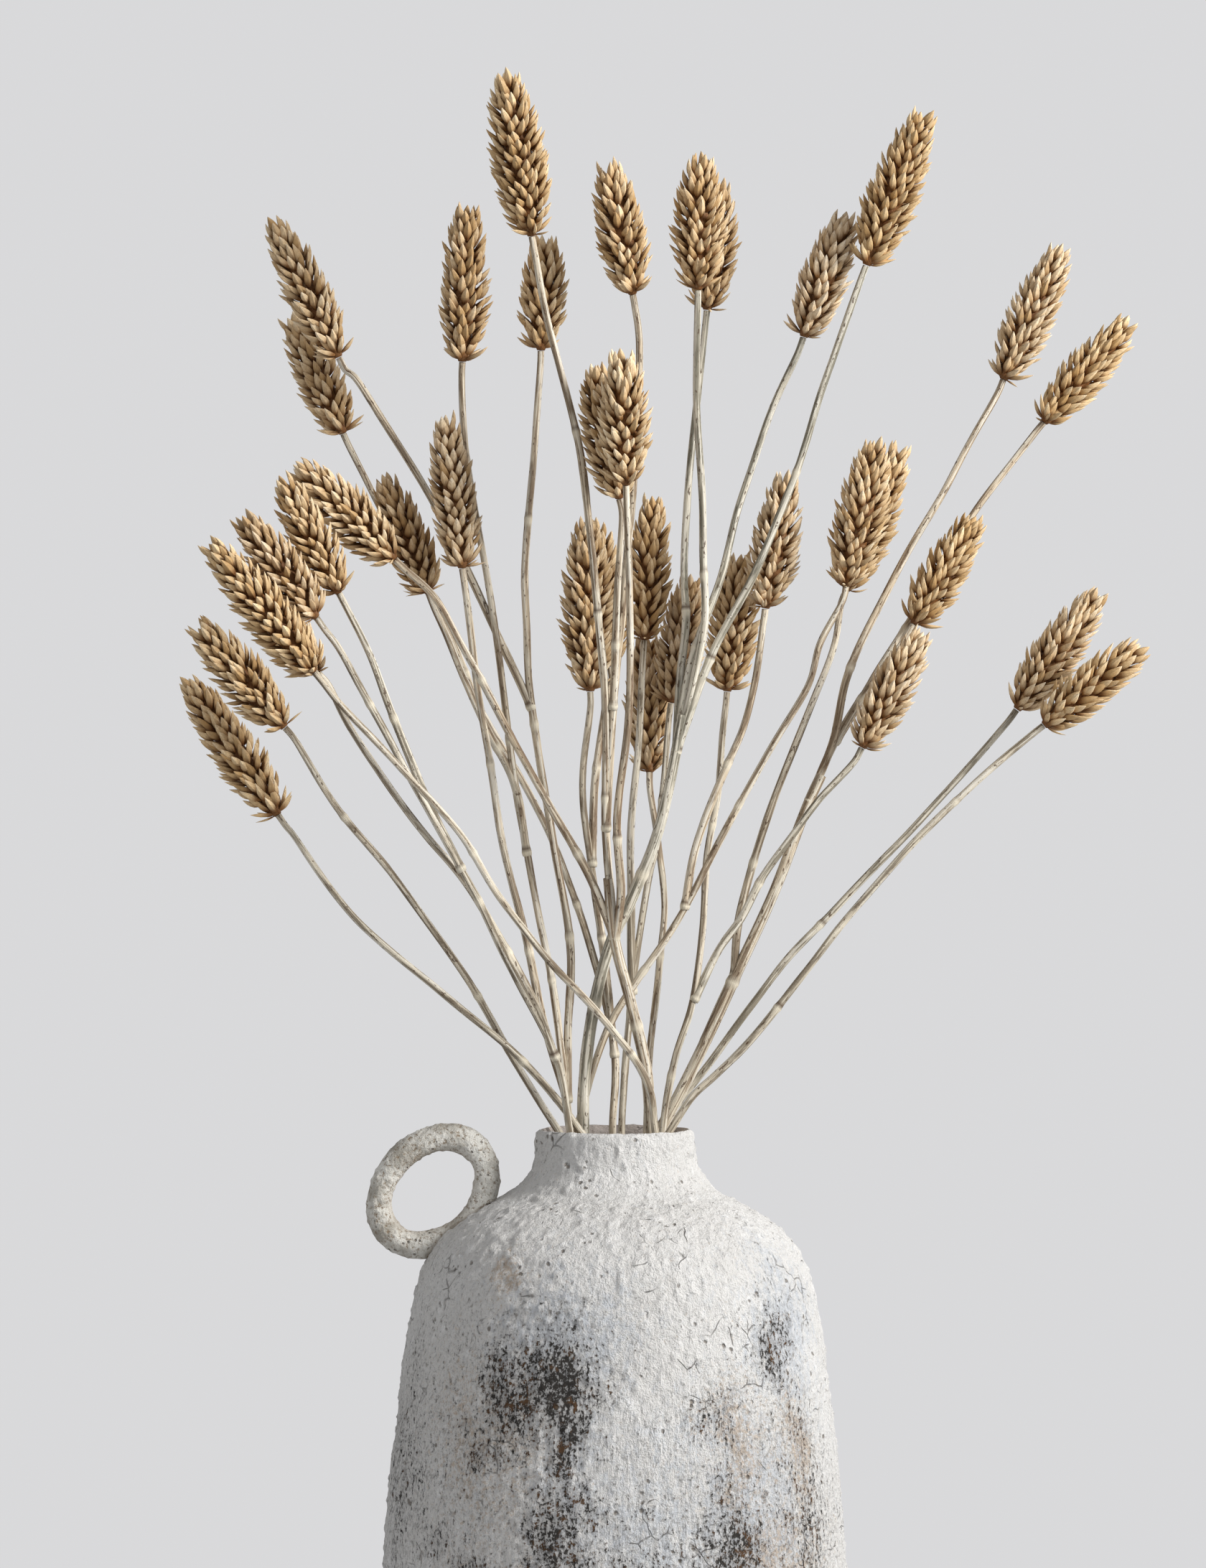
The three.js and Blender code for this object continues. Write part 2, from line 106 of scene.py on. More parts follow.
# Each spray stands in a leaning plane of its own.
# foot: (x, height from the rim) of the end inside the vase. mouth: (x, y) where it passes the rim.
# lean: how far it leans back for each metre it rises; forward is negative.
# brown: how brown its stalk is, from -1 for grey-green to 1 for brown.
# culm: the thick lower stalk that some sprays have, from the mouth up.
# culm_nodes: where its nodes are, in shares of its length above the mouth.
# strands: the first one rises from the mouth or from the culm, and the others fork from it. Their points,
# like the culm's, are (x, height above the rim) in the front elevation, and end at the seed head's base.
# tip: the seed head's tip.
# back: how far a strand stands behind the spray's plane where it forks and at its head.
# full: how full the seed head is; 1 is usual.
# tone: (how much paler than usual the head is, how golden it is from 0 to 1).
SPRAYS = [
    dict(name="spray_01", foot=(0.075, -0.17), mouth=(-0.026, 0.01), lean=-0.12, strands=[
        dict(tip=(-0.188, 0.227), full=1.05, tone=(0.02, 0.75), points=[
            (-0.045, 0.031), (-0.068, 0.07), (-0.099, 0.114), (-0.123, 0.142), (-0.147, 0.179),
        ]),
    ]),
    dict(name="spray_02", foot=(0.078, -0.117), mouth=(-0.0155, -0.0155), lean=0.17, strands=[
        dict(tip=(-0.192, 0.202), tone=(0.05, 0.8), points=[
            (-0.025, 0.012), (-0.047, 0.036), (-0.079, 0.063), (-0.114, 0.092), (-0.144, 0.132),
            (-0.15, 0.14),
        ]),
    ]),
    dict(name="spray_03", foot=(0.061, -0.215), mouth=(0.018, -0.022), lean=-0.36, brown=-0.2, strands=[
        dict(tip=(-0.182, 0.263), tone=(0.04, 0.85), points=[
            (0.016, 0.016), (0.01, 0.03), (-0.003, 0.047), (-0.029, 0.075), (-0.051, 0.103),
            (-0.069, 0.132), (-0.095, 0.161), (-0.123, 0.19), (-0.134, 0.204),
        ]),
    ]),
    dict(name="spray_04", foot=(0.034, -0.27), mouth=(-0.02, -0.019), lean=-0.27, strands=[
        dict(tip=(-0.167, 0.274), back=(0.0, -0.006), tone=(-0.14, 0.15), points=[
            (-0.026, 0.031), (-0.042, 0.063), (-0.059, 0.098), (-0.068, 0.115), (-0.087, 0.148),
            (-0.107, 0.186), (-0.123, 0.215), (-0.133, 0.228),
        ]),
        dict(tip=(-0.149, 0.291), back=(-0.003, 0.01), full=0.92, points=[
            (-0.068, 0.115), (-0.085, 0.149), (-0.1, 0.187), (-0.109, 0.211), (-0.123, 0.239),
        ]),
        dict(tip=(-0.165, 0.241), back=(0.0, 0.004), points=[
            (-0.026, 0.031), (-0.038, 0.06), (-0.064, 0.106), (-0.085, 0.132), (-0.118, 0.179),
            (-0.132, 0.203),
        ]),
    ]),
    dict(name="spray_05", foot=(-0.024, -0.283), mouth=(-0.02, -0.009), lean=-0.13, brown=0.35, strands=[
        dict(tip=(-0.066, 0.414), back=(0.0, 0.008), tone=(-0.32, 0.42), points=[
            (-0.024, 0.037), (-0.031, 0.082), (-0.039, 0.122), (-0.046, 0.166), (-0.054, 0.227),
            (-0.066, 0.3), (-0.068, 0.342),
        ]),
        dict(tip=(-0.104, 0.292), back=(0.003, 0.006), tone=(-0.2, 0.45), points=[
            (-0.039, 0.122), (-0.045, 0.155), (-0.057, 0.178), (-0.067, 0.201), (-0.075, 0.221),
            (-0.083, 0.239),
        ]),
        dict(tip=(-0.076, 0.319), back=(0.0, -0.006), tone=(0.14, 0.25), points=[
            (-0.021, 0.012), (-0.032, 0.049), (-0.042, 0.095), (-0.05, 0.129), (-0.058, 0.177),
            (-0.065, 0.225), (-0.068, 0.25),
        ]),
        dict(tip=(-0.031, 0.399), back=(0.0, 0.012), points=[
            (-0.021, 0.012), (-0.021, 0.043), (-0.02, 0.082), (-0.028, 0.13), (-0.037, 0.187),
            (-0.039, 0.221), (-0.04, 0.246), (-0.036, 0.3), (-0.033, 0.347),
        ]),
        dict(tip=(-0.153, 0.406), back=(0.006, 0.014), points=[
            (-0.037, 0.187), (-0.056, 0.229), (-0.085, 0.286), (-0.116, 0.335), (-0.123, 0.344),
        ]),
    ]),
    dict(name="spray_06", foot=(0.008, -0.284), mouth=(-0.001, 0.003), lean=0.02, strands=[
        dict(tip=(-0.145, 0.364), points=[
            (0.0, 0.032), (-0.008, 0.07), (-0.021, 0.112), (-0.039, 0.151), (-0.061, 0.189),
            (-0.075, 0.224), (-0.1, 0.268), (-0.121, 0.31),
        ]),
        dict(tip=(-0.013, 0.273), back=(0.0, -0.012), full=1.15, points=[
            (0.0, 0.032), (-0.005, 0.078), (-0.01, 0.117), (-0.014, 0.145), (-0.014, 0.161),
            (-0.011, 0.195),
        ]),
        dict(tip=(-0.01, 0.273), back=(-0.005, 0.008), points=[
            (-0.01, 0.117), (-0.009, 0.15), (-0.004, 0.19), (-0.002, 0.206),
        ]),
    ]),
    dict(name="spray_07", foot=(0.056, -0.28), mouth=(0.016, -0.011), lean=-0.2, brown=0.8, culm=[
        (0.014, 0.026), (0.007, 0.057), (0.0, 0.084), (-0.003, 0.112),
    ], strands=[
        dict(tip=(-0.049, 0.472), full=1.18, tone=(0.0, 0.8), points=[
            (0.0, 0.084), (-0.004, 0.133), (-0.004, 0.18), (-0.009, 0.244), (-0.016, 0.304),
            (-0.031, 0.364), (-0.037, 0.398),
        ]),
        dict(tip=(-0.143, 0.297), back=(0.0, 0.006), full=1.12, tone=(0.16, 0.55), points=[
            (0.0, 0.084), (-0.012, 0.114), (-0.03, 0.146), (-0.047, 0.176), (-0.067, 0.214), (-0.08, 0.237),
            (-0.098, 0.254),
        ]),
        dict(tip=(0.003, 0.348), back=(0.0, -0.018), tone=(0.26, 0.58), points=[
            (0.0, 0.084), (0.003, 0.105), (0.001, 0.139), (0.006, 0.181), (0.007, 0.21), (0.005, 0.287),
        ]),
        dict(tip=(-0.009, 0.341), points=[
            (-0.004, 0.133), (-0.001, 0.187), (0.001, 0.238), (0.003, 0.265), (0.002, 0.281),
        ]),
        dict(tip=(-0.003, 0.432), back=(0.0, 0.024), full=1.05, points=[
            (-0.001, 0.187), (0.004, 0.24), (0.009, 0.3), (0.011, 0.352), (0.008, 0.372),
        ]),
    ]),
    dict(name="spray_08", foot=(0.012, -0.284), mouth=(0.003, 0.007), lean=0.1, strands=[
        dict(tip=(0.034, 0.248), back=(0.0, 0.01), tone=(-0.1, 0.2), points=[
            (0.005, 0.032), (0.008, 0.06), (0.012, 0.09), (0.016, 0.115), (0.019, 0.127), (0.022, 0.155),
            (0.025, 0.19),
        ]),
        dict(tip=(0.017, 0.283), back=(0.002, -0.004), tone=(-0.04, 0.75), points=[
            (0.008, 0.06), (0.007, 0.1), (0.007, 0.122), (0.008, 0.145), (0.01, 0.17), (0.013, 0.218),
        ]),
    ]),
    dict(name="spray_09", foot=(0.0, -0.284), mouth=(0.014, 0.008), lean=0.22, strands=[
        dict(tip=(0.014, 0.222), full=0.95, tone=(-0.06, 0.25), points=[
            (0.016, 0.038), (0.02, 0.075), (0.022, 0.1), (0.019, 0.128), (0.0155, 0.159),
        ]),
    ]),
    dict(name="spray_10", foot=(-0.014, -0.284), mouth=(-0.014, -0.007), lean=-0.11, brown=-0.9, culm=[
        (-0.014, 0.017), (-0.01, 0.051), (-0.002, 0.083), (0.007, 0.102), (0.019, 0.132), (0.027, 0.167),
        (0.03, 0.185),
    ], culm_nodes=[0.3, 0.62], strands=[
        dict(tip=(0.038, 0.435), full=1.12, points=[
            (0.027, 0.167), (0.036, 0.203), (0.04, 0.226), (0.0395, 0.255), (0.0385, 0.291),
            (0.0365, 0.327), (0.037, 0.374),
        ]),
        dict(tip=(0.047, 0.423), back=(0.0, 0.024), points=[
            (0.027, 0.167), (0.029, 0.198), (0.0315, 0.226), (0.031, 0.245), (0.032, 0.278),
            (0.0345, 0.306), (0.041, 0.365),
        ]),
        dict(tip=(0.139, 0.455), full=1.1, tone=(-0.06, 0.9), points=[
            (0.027, 0.167), (0.043, 0.211), (0.062, 0.247), (0.081, 0.295), (0.093, 0.331), (0.112, 0.385),
        ]),
        dict(tip=(0.104, 0.41), back=(0.0, 0.01), tone=(0.26, 0.1), points=[
            (0.027, 0.167), (0.034, 0.208), (0.047, 0.247), (0.057, 0.283), (0.071, 0.323), (0.084, 0.353),
        ]),
    ]),
    dict(name="spray_11", foot=(-0.092, -0.215), mouth=(-0.017, -0.001), lean=-0.06, strands=[
        dict(tip=(0.117, 0.308), full=1.12, tone=(0.02, 0.55), points=[
            (-0.01, 0.026), (-0.002, 0.048), (0.009, 0.066), (0.022, 0.084), (0.031, 0.098), (0.045, 0.125),
            (0.066, 0.164), (0.086, 0.198), (0.091, 0.216), (0.103, 0.242),
        ]),
        dict(tip=(0.077, 0.293), back=(0.0, 0.006), tone=(0.14, 0.2), points=[
            (0.031, 0.098), (0.036, 0.125), (0.05, 0.162), (0.058, 0.181), (0.063, 0.201), (0.067, 0.232),
        ]),
    ]),
    dict(name="spray_12", foot=(0.012, -0.284), mouth=(0.0215, 0.0045), lean=0.03, strands=[
        dict(tip=(0.056, 0.258), full=1.05, points=[
            (0.027, 0.032), (0.035, 0.057), (0.039, 0.089), (0.041, 0.124), (0.046, 0.15), (0.048, 0.176),
            (0.05, 0.195),
        ]),
        dict(tip=(0.138, 0.223), back=(0.0, -0.004), tone=(0.2, 0.25), points=[
            (0.035, 0.057), (0.047, 0.08), (0.057, 0.094), (0.066, 0.112), (0.077, 0.128), (0.09, 0.146),
            (0.11, 0.17),
        ]),
    ]),
    dict(name="spray_13", foot=(-0.07, -0.175), mouth=(0.021, 0.0115), lean=0.05, brown=0.55, culm=[
        (0.034, 0.026), (0.053, 0.067), (0.071, 0.106), (0.086, 0.145), (0.092, 0.158),
    ], strands=[
        dict(tip=(0.162, 0.274), back=(0.0, 0.008), tone=(0.0, 0.85), points=[
            (0.086, 0.145), (0.098, 0.172), (0.113, 0.197), (0.133, 0.225),
        ]),
        dict(tip=(0.2, 0.395), tone=(0.14, 0.35), points=[
            (0.086, 0.145), (0.097, 0.172), (0.104, 0.203), (0.123, 0.243), (0.151, 0.293), (0.173, 0.334),
        ]),
        dict(tip=(0.231, 0.362), back=(0.003, 0.04), tone=(0.0, 0.9), points=[
            (0.098, 0.172), (0.118, 0.205), (0.14, 0.24), (0.161, 0.276), (0.191, 0.315),
        ]),
        dict(tip=(0.128, 0.306), back=(0.0, 0.004), full=1.05, points=[
            (0.053, 0.067), (0.056, 0.097), (0.07, 0.144), (0.088, 0.19), (0.098, 0.218), (0.103, 0.24),
        ]),
    ]),
    dict(name="spray_14", foot=(-0.078, -0.145), mouth=(0.02, 0.0195), lean=-0.05, strands=[
        dict(tip=(0.217, 0.241), tone=(0.05, 0.4), points=[
            (0.044, 0.032), (0.061, 0.055), (0.079, 0.078), (0.099, 0.099), (0.131, 0.132), (0.142, 0.144),
            (0.179, 0.187),
        ]),
    ]),
    dict(name="spray_15", foot=(-0.078, -0.145), mouth=(0.024, -0.015), lean=0, strands=[
        dict(tip=(0.236, 0.216), tone=(0.02, 0.75), points=[
            (0.035, 0.015), (0.045, 0.024), (0.059, 0.038), (0.088, 0.075), (0.109, 0.101), (0.142, 0.137),
            (0.157, 0.151), (0.191, 0.18),
        ]),
    ]),
]

# Worn and stained places on the vase, as (degrees round from the front towards the right, height, half
# width in degrees, half height, strength).
PATCHES = {
    "dark": [
        (-17, 0.191, 8, 0.024, 1.38), (-13, 0.166, 7, 0.022, 1.22), (-26, 0.189, 7, 0.024, 1.12),
        (-31, 0.16, 5, 0.008, 0.95), (-8, 0.177, 8, 0.034, 0.8), (-15, 0.212, 9, 0.014, 0.85),
        (-37, 0.17, 4, 0.009, 0.85), (-13, 0.122, 10, 0.028, 1.08), (-34, 0.108, 7, 0.01, 1.0),
        (-50, 0.115, 6, 0.01, 0.85), (-24, 0.1, 8, 0.012, 0.95), (4, 0.11, 12, 0.026, 0.7),
        (50, 0.206, 8, 0.018, 1.05), (55, 0.17, 8, 0.03, 0.75), (30, 0.172, 9, 0.02, 0.75),
        (28, 0.122, 12, 0.03, 1.1), (55, 0.13, 14, 0.04, 0.8), (-68, 0.145, 14, 0.06, 0.7),
        (-42, 0.15, 26, 0.06, 0.46), (35, 0.13, 40, 0.05, 0.42), (112, 0.178, 9, 0.04, 1.08),
        (104, 0.13, 9, 0.04, 0.92), (160, 0.125, 15, 0.046, 0.86), (140, 0.15, 40, 0.06, 0.55),
        (-150, 0.188, 9, 0.036, 1.12), (-143, 0.15, 8, 0.04, 0.98), (-110, 0.11, 15, 0.046, 0.86),
        (-130, 0.14, 40, 0.06, 0.55), (25, 0.084, 11, 0.03, 0.85), (-14, 0.086, 9, 0.03, 0.8),
        (-75, 0.07, 22, 0.04, 0.7), (135, 0.066, 26, 0.04, 0.72), (0, 0.03, 400, 0.02, 0.62),
    ],
    "blue": [
        (-14, 0.214, 12, 0.018, 1.3), (-10, 0.15, 12, 0.046, 0.9), (55, 0.21, 14, 0.026, 1.4),
        (33, 0.13, 17, 0.046, 1.3), (10, 0.12, 14, 0.04, 1.0), (-155, 0.16, 20, 0.05, 1.1),
        (115, 0.2, 18, 0.03, 1.1),
    ],
    "tan": [
        (54, 0.16, 6, 0.026, 1.5), (34, 0.16, 9, 0.026, 1.2), (-36, 0.16, 14, 0.034, 1.0),
        (-34, 0.234, 5, 0.008, 1.3), (42, 0.112, 18, 0.02, 1.2), (-30, 0.104, 16, 0.014, 0.9),
        (-146, 0.15, 12, 0.03, 1.2), (108, 0.14, 14, 0.024, 1.1), (170, 0.11, 18, 0.02, 1.0),
    ],
}


# --- Node graphs ---

class Graph:
    """The node tree of a new material, with short calls for the nodes that the materials here use."""

    def __init__(self, name):
        self.material = bpy.data.materials.new(name)
        self.material.use_nodes = True
        self.tree = self.material.node_tree
        self.shader = self.tree.nodes["Principled BSDF"]

    def put(self, socket, value):
        if isinstance(value, bpy.types.NodeSocket):
            self.tree.links.new(value, socket)
        else:
            socket.default_value = value

    def node(self, kind, inputs=(), **settings):
        made = self.tree.nodes.new("ShaderNode" + kind)
        for key, value in settings.items():
            setattr(made, key, value)
        for key, value in dict(inputs).items():
            self.put(made.inputs[key], value)
        return made

    def place(self):
        return self.node("TexCoord").outputs["Object"]

    def attribute(self, name, output="Fac"):
        return self.node("Attribute", attribute_name=name).outputs[output]

    def stretched(self, vector, scale):
        return self.node("Mapping", {"Vector": vector, "Scale": scale}).outputs["Vector"]

    def noise(self, vector, scale, detail=3.0, roughness=0.6):
        inputs = {"Vector": vector, "Scale": scale, "Detail": detail, "Roughness": roughness}
        return self.node("TexNoise", inputs).outputs["Fac"]

    def ridges(self, vector, scale, detail):
        """Sharp-crested noise, from about 0 in the hollows to 1 on the crests."""
        inputs = {"Vector": vector, "Scale": scale, "Detail": detail, "Roughness": 0.62}
        made = self.node("TexNoise", inputs, noise_type="RIDGED_MULTIFRACTAL", normalize=True)
        return made.outputs["Fac"]

    def warped(self, vector, scale, amount):
        """The vector moved about by a noise, so that cells lose their straight edges."""
        colour = self.node("TexNoise", {"Vector": vector, "Scale": scale, "Detail": 2.0}).outputs["Color"]
        shift = self.node("VectorMath", {0: colour, 1: (0.5, 0.5, 0.5)}, operation="SUBTRACT").outputs[0]
        shift = self.node("VectorMath", {0: shift, "Scale": amount}, operation="SCALE").outputs[0]
        return self.node("VectorMath", {0: vector, 1: shift}, operation="ADD").outputs[0]

    def cells(self, vector, scale, feature="F1"):
        made = self.node("TexVoronoi", {"Vector": vector, "Scale": scale}, feature=feature)
        return made.outputs["Distance"]

    def math(self, operation, a, b=0.0):
        made = self.node("Math", operation=operation)
        self.put(made.inputs[0], a)
        self.put(made.inputs[1], b)
        return made.outputs["Value"]

    def total(self, *terms):
        """The sum of values that each have a weight."""
        result = None
        for value, weight in terms:
            weighted = value if weight == 1 else self.math("MULTIPLY", value, weight)
            result = weighted if result is None else self.math("ADD", result, weighted)
        return result

    def step(self, value, low, high, to_low=0.0, to_high=1.0):
        inputs = {"Value": value, "From Min": low, "From Max": high, "To Min": to_low, "To Max": to_high}
        return self.node("MapRange", inputs, interpolation_type="SMOOTHSTEP").outputs["Result"]

    def mix(self, factor, a, b):
        made = self.node("Mix", data_type="RGBA")
        self.put(made.inputs["Factor"], factor)
        for socket, value in zip((made.inputs[6], made.inputs[7]), (a, b)):
            self.put(socket, (*value, 1.0) if isinstance(value, tuple) else value)
        return made.outputs[2]

    def bump(self, height, distance):
        inputs = {"Height": height, "Distance": distance, "Strength": 1.0}
        self.put(self.shader.inputs["Normal"], self.node("Bump", inputs).outputs["Normal"])

    def finish(self, colour, roughness, specular):
        self.put(self.shader.inputs["Base Color"], colour)
        self.put(self.shader.inputs["Roughness"], roughness)
        self.put(self.shader.inputs["Specular IOR Level"], specular)
        return self.material


def plaster_material():
    """Chalky white coat with grit, upright streaks and cracks, worn through to dark, tan and blue-grey."""
    g = Graph("plaster")
    place = g.place()
    upright = g.node("SeparateXYZ", {0: place}).outputs["Z"]
    streaked = g.stretched(place, (1.0, 1.0, 0.14))
    drawn = g.stretched(place, (1.0, 1.0, 0.55))
    clouds = g.noise(place, 24.0, 4.0)
    grit = g.noise(place, 1250.0, 3.0, 0.75)
    grains = g.noise(g.stretched(place, (1.0, 1.0, 0.75)), 640.0, 4.0, 0.72)
    lumps = g.noise(place, 300.0, 3.0, 0.6)
    crust = g.ridges(drawn, 165.0, 5.0)
    streaks = g.noise(streaked, 480.0, 4.0, 0.7)
    stains = g.noise(drawn, 260.0, 5.0, 0.75)

    cracks = g.step(g.cells(g.warped(place, 60.0, 0.010), 85.0, "DISTANCE_TO_EDGE"), 0.0, 0.034, 1.0, 0.0)
    cracks = g.math("MULTIPLY", cracks, g.step(g.noise(place, 46.0, 3.0), 0.57, 0.64))
    pits = g.step(g.cells(g.warped(place, 300.0, 0.002), 230.0), 0.10, 0.30, 1.0, 0.0)
    pits = g.math("MULTIPLY", pits, g.step(g.noise(place, 75.0, 3.0), 0.54, 0.64))

    worn = g.total((grains, 0.56), (grit, 0.16), (streaks, 0.28), (g.attribute("dark"), 0.140))
    dark = g.step(worn, 0.632, 0.676)
    grey = g.step(worn, 0.53, 0.65, 0.0, 0.55)
    soot = g.total((g.attribute("dark"), 1), (stains, 1.2))
    blue = g.total((stains, 1), (g.attribute("blue"), 0.22))
    tan = g.total((g.noise(place, 380.0, 5.0, 0.8), 1), (g.attribute("tan"), 0.15))
    rust = g.total((g.noise(place, 150.0, 3.0), 1), (g.attribute("tan"), 0.10))
    under = g.mix(g.step(rust, 0.53, 0.63), (0.046, 0.042, 0.038), (0.125, 0.068, 0.034))

    colour = g.mix(g.step(clouds, 0.36, 0.66), (0.87, 0.86, 0.845), (0.94, 0.935, 0.925))
    colour = g.mix(g.step(streaks, 0.36, 0.58, 0.16, 0.0), colour, (0.56, 0.54, 0.49))
    colour = g.mix(g.step(crust, 0.24, 0.50, 0.26, 0.0), colour, (0.52, 0.50, 0.46))
    colour = g.mix(g.step(blue, 0.54, 0.84, 0.0, 0.60), colour, (0.53, 0.58, 0.65))
    colour = g.mix(g.step(tan, 0.58, 0.76, 0.0, 0.72), colour, (0.55, 0.42, 0.30))
    colour = g.mix(g.step(soot, 1.10, 2.05, 0.0, 0.50), colour, (0.30, 0.30, 0.305))
    colour = g.mix(grey, colour, (0.25, 0.24, 0.23))
    colour = g.mix(dark, colour, under)
    colour = g.mix(g.math("MULTIPLY", pits, 0.75), colour, (0.15, 0.115, 0.080))
    colour = g.mix(g.math("MULTIPLY", cracks, 0.55), colour, (0.17, 0.15, 0.13))
    colour = g.mix(g.attribute("inside"), colour, g.mix(grains, (0.52, 0.44, 0.40), (0.92, 0.85, 0.80)))

    drawn_out = g.step(upright, 0.150, 0.215, 0.95, 0.28)
    height = g.total(
        (grit, 0.45), (grains, 0.75), (lumps, 0.75), (crust, 0.75), (streaks, drawn_out), (dark, -0.35),
        (pits, -0.7), (cracks, -0.5),
    )
    g.bump(height, 0.0021)
    return g.finish(colour, g.step(grit, 0.3, 0.7, 0.86, 0.97), 0.20)


def ring_material():
    """The ring handle's coat: creamier, greyer than the body, grainy, brown in its hollows, painted shade by
    the body and inside.
    """
    g = Graph("ring")
    place = g.place()
    grain = g.noise(place, 620.0, 4.0, 0.7)
    lumps = g.noise(place, 230.0, 3.0)
    clouds = g.noise(place, 55.0, 3.0)
    pits = g.step(g.cells(place, 340.0), 0.10, 0.26, 1.0, 0.0)
    pits = g.math("MULTIPLY", pits, g.step(g.noise(place, 110.0, 2.0), 0.52, 0.62))
    colour = g.mix(g.step(clouds, 0.36, 0.62), (0.40, 0.375, 0.325), (0.80, 0.785, 0.73))
    colour = g.mix(g.step(grain, 0.34, 0.50, 0.85, 0.0), colour, (0.22, 0.155, 0.095))
    # Painted shade where the ring meets the body and on its inner side.
    colour = g.mix(g.math("MULTIPLY", g.attribute("painted_shade"), 0.65), colour, (0.24, 0.17, 0.11))
    colour = g.mix(g.math("MULTIPLY", pits, 0.7), colour, (0.17, 0.12, 0.08))
    g.bump(g.total((grain, 0.6), (lumps, 0.9), (pits, -0.8)), 0.0017)
    return g.finish(colour, g.step(grain, 0.3, 0.7, 0.84, 0.96), 0.25)


def stalk_material():
    """Dry straw with long light and dark streaks, mottled grey-brown, specked, and paler at its nodes."""
    g = Graph("stalk")
    grain = g.attribute("grain", "Vector")
    fibres = g.noise(g.stretched(grain, (1.0, 1.0, 0.035)), 2600.0, 3.0, 0.6)
    bands = g.noise(g.stretched(grain, (1.0, 1.0, 0.030)), 620.0, 3.0, 0.55)
    mottle = g.noise(g.stretched(grain, (1.0, 1.0, 0.16)), 360.0, 4.0, 0.65)
    blotch = g.noise(g.stretched(grain, (1.0, 1.0, 0.30)), 120.0, 3.0, 0.6)
    specks = g.step(g.noise(g.stretched(grain, (1.0, 1.0, 0.40)), 800.0, 2.0), 0.62, 0.67)
    tone = g.attribute("tone")
    pale = g.mix(g.step(tone, 0.0, 1.0), (0.70, 0.665, 0.56), (0.70, 0.580, 0.42))
    shade = g.mix(g.step(tone, 0.0, 1.0), (0.155, 0.150, 0.115), (0.185, 0.115, 0.065))
    colour = g.mix(g.step(mottle, 0.37, 0.55), shade, pale)
    colour = g.mix(g.step(blotch, 0.46, 0.64, 0.0, 0.75), colour, (0.82, 0.76, 0.62))
    colour = g.mix(g.step(bands, 0.41, 0.50, 0.85, 0.0), colour, shade)
    colour = g.mix(g.step(bands, 0.53, 0.62, 0.0, 0.75), colour, (0.90, 0.86, 0.76))
    colour = g.mix(g.step(fibres, 0.35, 0.65, 0.35, 0.0), colour, (0.30, 0.24, 0.16))
    colour = g.mix(g.math("MULTIPLY", specks, 0.85), colour, (0.085, 0.045, 0.022))
    colour = g.mix(g.math("MULTIPLY", g.attribute("band"), 0.8), colour, (0.80, 0.73, 0.58))
    colour = g.mix(g.math("MULTIPLY", g.attribute("scar"), 0.9), colour, (0.085, 0.045, 0.022))
    g.bump(g.total((fibres, 1), (bands, 1.2)), 0.00040)
    return g.finish(colour, g.step(mottle, 0.3, 0.7, 0.72, 0.55), 0.35)


def glume_material():
    """Papery glumes: golden brown at the foot, deepened by painted shade for the gaps, straw on the back,
    cream at the tip, each its own tone.
    """
    g = Graph("glume")
    along = g.attribute("along")
    tone = g.attribute("tone")
    grain = g.attribute("grain", "Vector")
    veins = g.noise(g.stretched(grain, (1.0, 1.0, 0.12)), 3000.0, 3.0, 0.6)
    clouds = g.noise(g.place(), 260.0, 3.0)
    # Painted shade: the dark foot colour darkens the gaps between glumes, on top of the glumes' own
    # golden-brown base.
    foot = g.mix(tone, (0.12, 0.040, 0.007), (0.25, 0.118, 0.034))
    back = g.mix(tone, (0.49, 0.330, 0.160), (0.88, 0.725, 0.505))
    tip = g.mix(tone, (0.64, 0.465, 0.270), (0.97, 0.880, 0.720))
    colour = g.mix(g.step(along, 0.14, 0.60), foot, back)
    colour = g.mix(g.step(along, 0.60, 1.0), colour, tip)
    colour = g.mix(g.step(veins, 0.36, 0.62, 0.40, 0.0), colour, (0.32, 0.19, 0.09))
    colour = g.mix(g.step(clouds, 0.56, 0.72, 0.0, 0.35), colour, (0.45, 0.36, 0.25))
    tint = g.mix(g.attribute("golden"), (1.0, 0.99, 0.99), (1.0, 0.91, 0.735))
    colour = g.node("VectorMath", {0: colour, 1: tint}, operation="MULTIPLY").outputs[0]
    g.bump(veins, 0.00016)
    return g.finish(colour, 0.62, 0.30)


# --- Meshes ---

def make_piece(name, vertices, faces, material, attributes):
    """A new object from arrays of vertices and faces, with float or vector attributes on its vertices."""
    mesh = bpy.data.meshes.new(name)
    mesh.from_pydata(vertices.tolist(), [], faces)
    for key, values in attributes.items():
        flat = np.asarray(values, np.float32)
        kind = "FLOAT_VECTOR" if flat.ndim == 2 else "FLOAT"
        layer = mesh.attributes.new(key, kind, "POINT")
        layer.data.foreach_set("vector" if flat.ndim == 2 else "value", flat.ravel())
    mesh.materials.append(material)
    mesh.polygons.foreach_set("use_smooth", [True] * len(mesh.polygons))
    mesh.update()
    piece = bpy.data.objects.new(name, mesh)
    bpy.context.scene.collection.objects.link(piece)
    return piece


def grid_faces(rows, columns, first=0):
    """Quads between closed rings of vertices that follow one another."""
    faces = []
    for row in range(rows - 1):
        start = first + row * columns
        for column in range(columns):
            after = (column + 1) % columns
            faces.append((start + column, start + after, start + columns + after, start + columns + column))
    return faces


